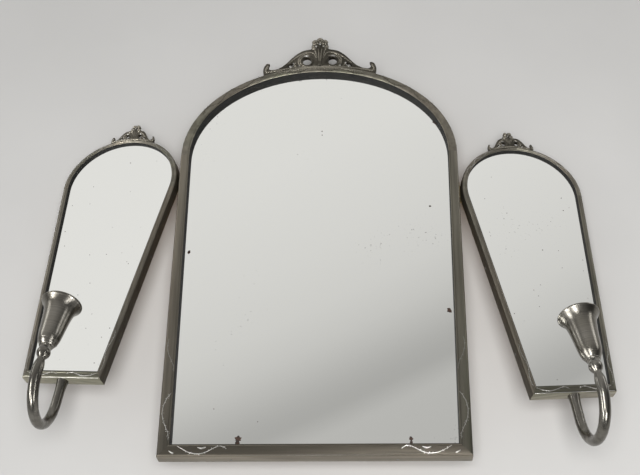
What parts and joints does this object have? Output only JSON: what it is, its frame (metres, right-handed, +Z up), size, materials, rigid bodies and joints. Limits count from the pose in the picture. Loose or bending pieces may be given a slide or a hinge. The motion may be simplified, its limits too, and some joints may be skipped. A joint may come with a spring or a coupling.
{
  "type": "girandole mirror",
  "caption": "Arched wall mirror in a silvered metal frame with hinged, tapered side mirrors, pierced scroll crests and curved candle arms with bell-shaped cups.",
  "frame": {"origin": "on the wall plane, in the middle of the back edge of the centre's bottom rail", "axes": "+X to the right as seen from the front, +Y into the wall, +Z up; the viewer stands at -Y"},
  "size_m": [0.6952, 0.1441, 0.6005],
  "materials": {
    "frame_metal": "antique pewter grey, worn bright on the edges",
    "arm_metal": "antique pewter grey, smooth",
    "cup_metal": "turned, brushed round the axis",
    "mirror_glass": "silvered, with desilvered spots",
    "board": "stained, matt",
    "hinge_brass": "aged",
    "fastener_steel": "dull"
  },
  "bodies": {
    "centre": {"center_arch_rail": "frame_metal", "center_backboard": "board", "center_bottom_rail": "frame_metal", "center_crest": "frame_metal", "center_glass": "mirror_glass", "center_left_stile": "frame_metal", "center_nails": "fastener_steel", "center_right_stile": "frame_metal", "hanger_screws": "fastener_steel", "hanger_strap": "hinge_brass", "left_wing_center_leaf": "hinge_brass", "left_wing_hinge_pin": "hinge_brass", "right_wing_center_leaf": "hinge_brass", "right_wing_hinge_pin": "hinge_brass", "stile_leaf_screws": "hinge_brass"},
    "left_wing": {"left_wing_arch_rail": "frame_metal", "left_wing_arm_nut": "fastener_steel", "left_wing_backboard": "board", "left_wing_candle_arm": "arm_metal", "left_wing_crest": "frame_metal", "left_wing_cup_screw": "fastener_steel", "left_wing_foot_rail": "frame_metal", "left_wing_glass": "mirror_glass", "left_wing_hinge_leaf": "hinge_brass", "left_wing_inner_rail": "frame_metal", "left_wing_leaf_screws": "hinge_brass", "left_wing_nails": "fastener_steel", "left_wing_outer_rail": "frame_metal"},
    "right_wing": {"right_wing_arch_rail": "frame_metal", "right_wing_arm_nut": "fastener_steel", "right_wing_backboard": "board", "right_wing_candle_arm": "arm_metal", "right_wing_crest": "frame_metal", "right_wing_cup_screw": "fastener_steel", "right_wing_foot_rail": "frame_metal", "right_wing_glass": "mirror_glass", "right_wing_hinge_leaf": "hinge_brass", "right_wing_inner_rail": "frame_metal", "right_wing_leaf_screws": "hinge_brass", "right_wing_nails": "fastener_steel", "right_wing_outer_rail": "frame_metal"},
    "left_cup": {"left_wing_candle_cup": "cup_metal"},
    "right_cup": {"right_wing_candle_cup": "cup_metal"},
    "hanging_ring": {"hanger_ring": "hinge_brass"}
  },
  "joints": [
    {"name": "left_wing_hinge", "type": "hinge", "parent": "centre", "child": "left_wing", "pos_m": [-0.18245, 0.00037, 0.37346], "axis": [0, 0.1204, 0.9927], "range_deg": [-80, 10]},
    {"name": "right_wing_hinge", "type": "hinge", "parent": "centre", "child": "right_wing", "pos_m": [0.18245, 0.00037, 0.35146], "axis": [0, 0.1204, 0.9927], "range_deg": [-10, 80]},
    {"name": "left_cup_turn", "type": "hinge", "parent": "left_wing", "child": "left_cup", "pos_m": [-0.29832, -0.10308, 0.09753], "axis": [0.128, 0.2168, 0.9678], "continuous": true},
    {"name": "right_cup_turn", "type": "hinge", "parent": "right_wing", "child": "right_cup", "pos_m": [0.30874, -0.10214, 0.07679], "axis": [-0.1438, 0.2154, 0.9659], "continuous": true},
    {"name": "hanging_ring_swing", "type": "hinge", "parent": "centre", "child": "hanging_ring", "pos_m": [0, -0.0021, 0.44975], "axis": [1, 0, 0], "range_deg": [-3, 160]}
  ]
}
